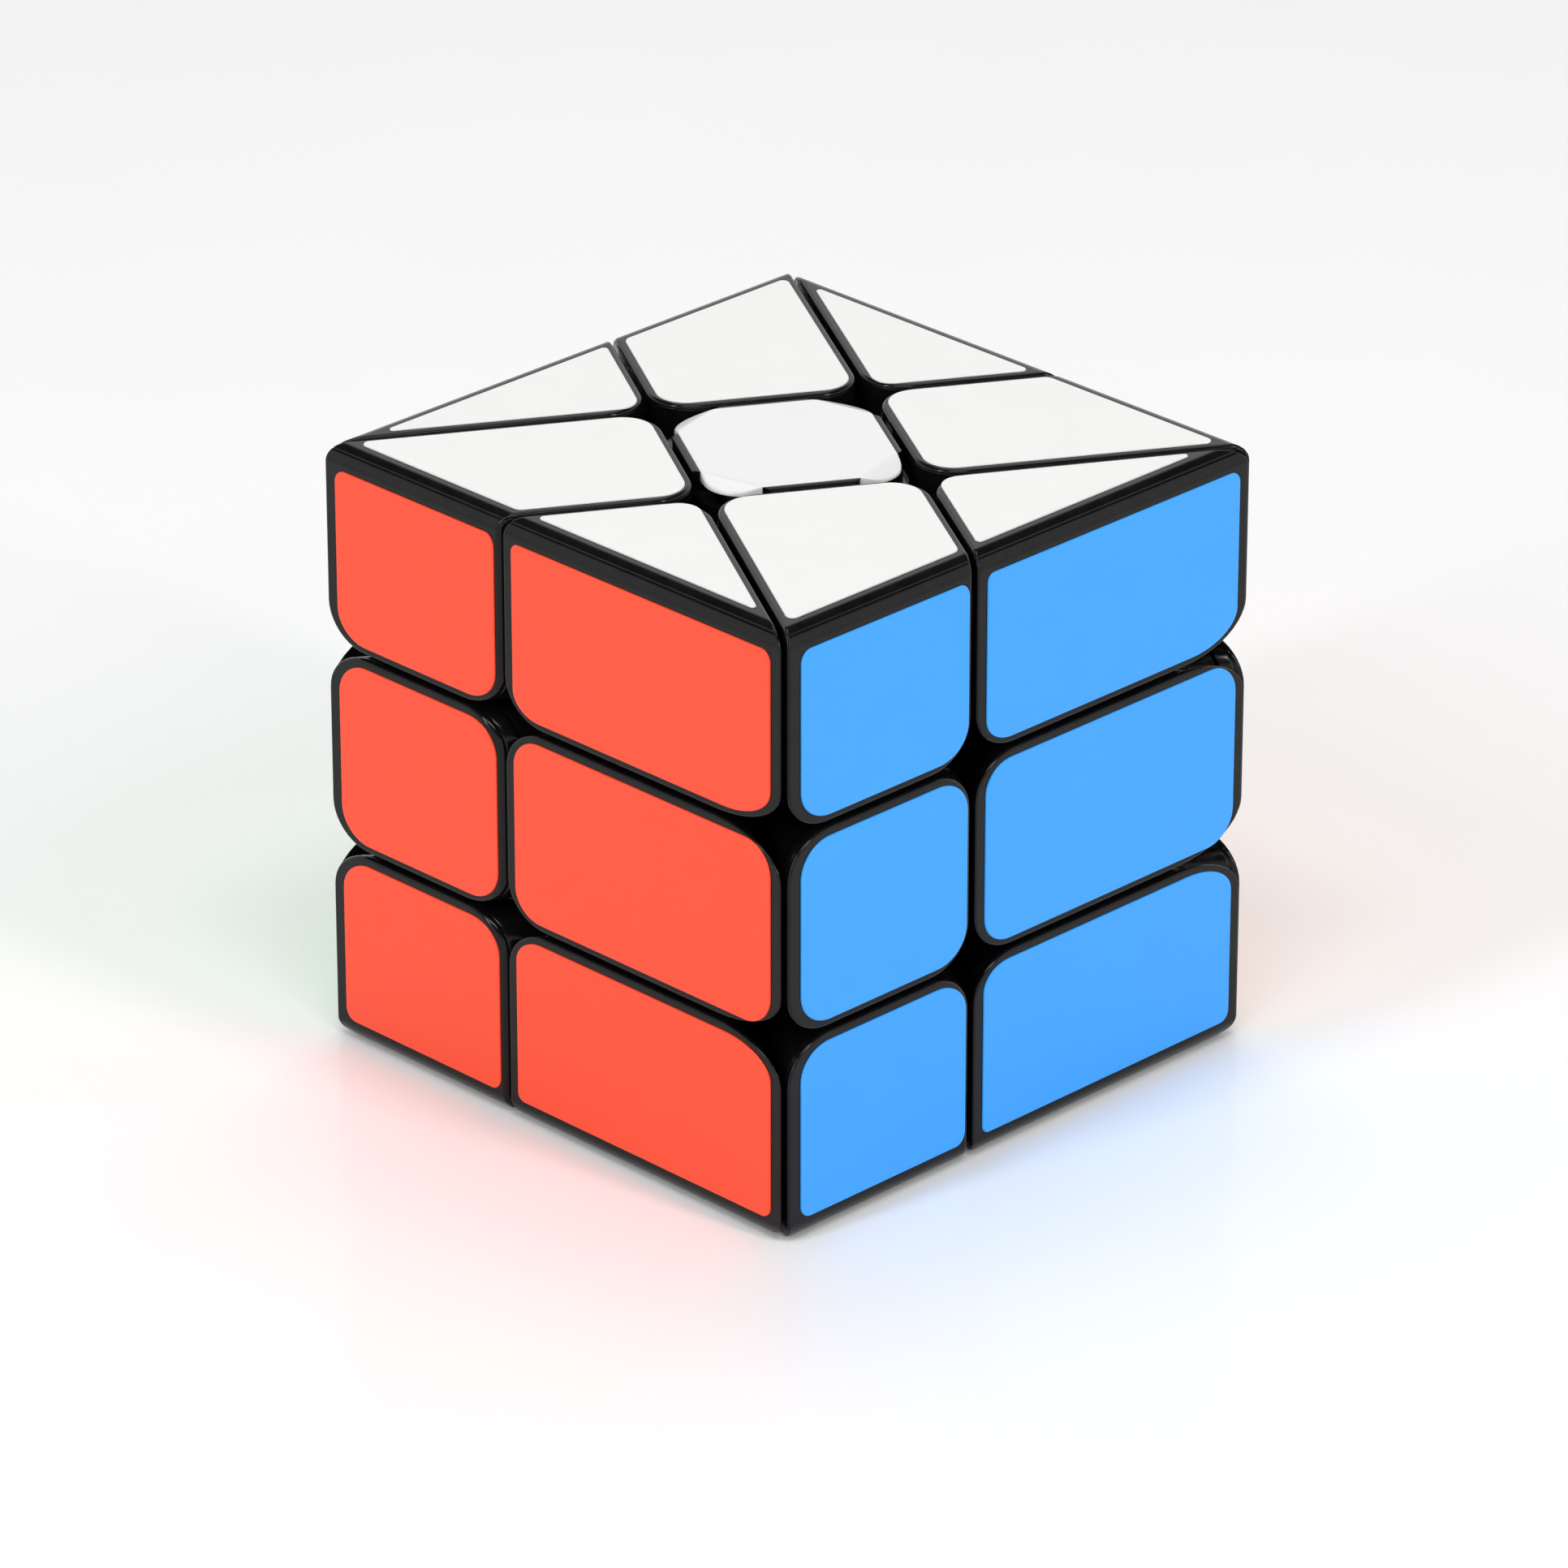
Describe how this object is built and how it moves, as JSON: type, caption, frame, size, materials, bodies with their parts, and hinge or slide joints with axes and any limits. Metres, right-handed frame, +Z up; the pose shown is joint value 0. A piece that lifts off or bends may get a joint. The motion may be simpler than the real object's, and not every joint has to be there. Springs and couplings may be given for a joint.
{
  "type": "twisty puzzle cube",
  "caption": "Three-layer twisty puzzle cube with slanting cuts, so that its layers show four-sided and three-sided pieces around square centres.",
  "frame": {"origin": "centre of the cube's bottom face, on the surface it stands on", "axes": "+Z up, the axis that the top and bottom layers turn about; -Y is the red face and +X the blue face; the mechanism's own level axes are turned 31.2 degrees clockwise from X and Y, seen from above"},
  "size_m": [0.057, 0.057, 0.057],
  "materials": {
    "body_plastic": "black moulded ABS, satin with fine grain",
    "core_plastic": "dark nylon, matte",
    "cap_plastic": "white moulded plastic, glossy",
    "cap_plastic_yellow": "yellow moulded plastic, glossy",
    "screw_steel": "zinc plated steel",
    "spring_steel": "drawn spring wire",
    "sticker_white": "vinyl sticker, smooth",
    "sticker_red": "vinyl sticker, smooth",
    "sticker_blue": "vinyl sticker, smooth",
    "sticker_orange": "vinyl sticker, smooth",
    "sticker_green": "vinyl sticker, smooth",
    "sticker_yellow": "vinyl sticker, smooth"
  },
  "bodies": {
    "core_and_middle_layer": {"core": "core_plastic", "top_screw": "screw_steel", "top_spring": "spring_steel", "bottom_screw": "screw_steel", "bottom_spring": "spring_steel", "front_screw": "screw_steel", "front_spring": "spring_steel", "right_screw": "screw_steel", "right_spring": "spring_steel", "back_screw": "screw_steel", "back_spring": "spring_steel", "left_screw": "screw_steel", "left_spring": "spring_steel", "front_centre": "body_plastic", "front_cover": "body_plastic", "middle_front_edge": "body_plastic", "right_centre": "body_plastic", "right_cover": "body_plastic", "middle_right_edge": "body_plastic", "back_centre": "body_plastic", "back_cover": "body_plastic", "middle_back_edge": "body_plastic", "left_centre": "body_plastic", "left_cover": "body_plastic", "middle_left_edge": "body_plastic"},
    "top_layer": {"top_centre": "body_plastic", "top_cap": "cap_plastic", "top_front_edge": "body_plastic", "top_front_corner_shell": "body_plastic", "top_front_corner_foot": "body_plastic", "top_right_edge": "body_plastic", "top_right_corner_shell": "body_plastic", "top_right_corner_foot": "body_plastic", "top_back_edge": "body_plastic", "top_back_corner_shell": "body_plastic", "top_back_corner_foot": "body_plastic", "top_left_edge": "body_plastic", "top_left_corner_shell": "body_plastic", "top_left_corner_foot": "body_plastic"},
    "bottom_layer": {"bottom_centre": "body_plastic", "bottom_cap": "cap_plastic_yellow", "bottom_front_edge": "body_plastic", "bottom_front_corner_shell": "body_plastic", "bottom_front_corner_foot": "body_plastic", "bottom_right_edge": "body_plastic", "bottom_right_corner_shell": "body_plastic", "bottom_right_corner_foot": "body_plastic", "bottom_back_edge": "body_plastic", "bottom_back_corner_shell": "body_plastic", "bottom_back_corner_foot": "body_plastic", "bottom_left_edge": "body_plastic", "bottom_left_corner_shell": "body_plastic", "bottom_left_corner_foot": "body_plastic"}
  },
  "joints": [
    {"name": "top_layer_turn", "type": "hinge", "parent": "core_and_middle_layer", "child": "top_layer", "pos_m": [0, 0, 0.0285], "axis": [0, 0, 1], "continuous": true},
    {"name": "bottom_layer_turn", "type": "hinge", "parent": "core_and_middle_layer", "child": "bottom_layer", "pos_m": [0, 0, 0.0285], "axis": [0, 0, 1], "continuous": true}
  ]
}
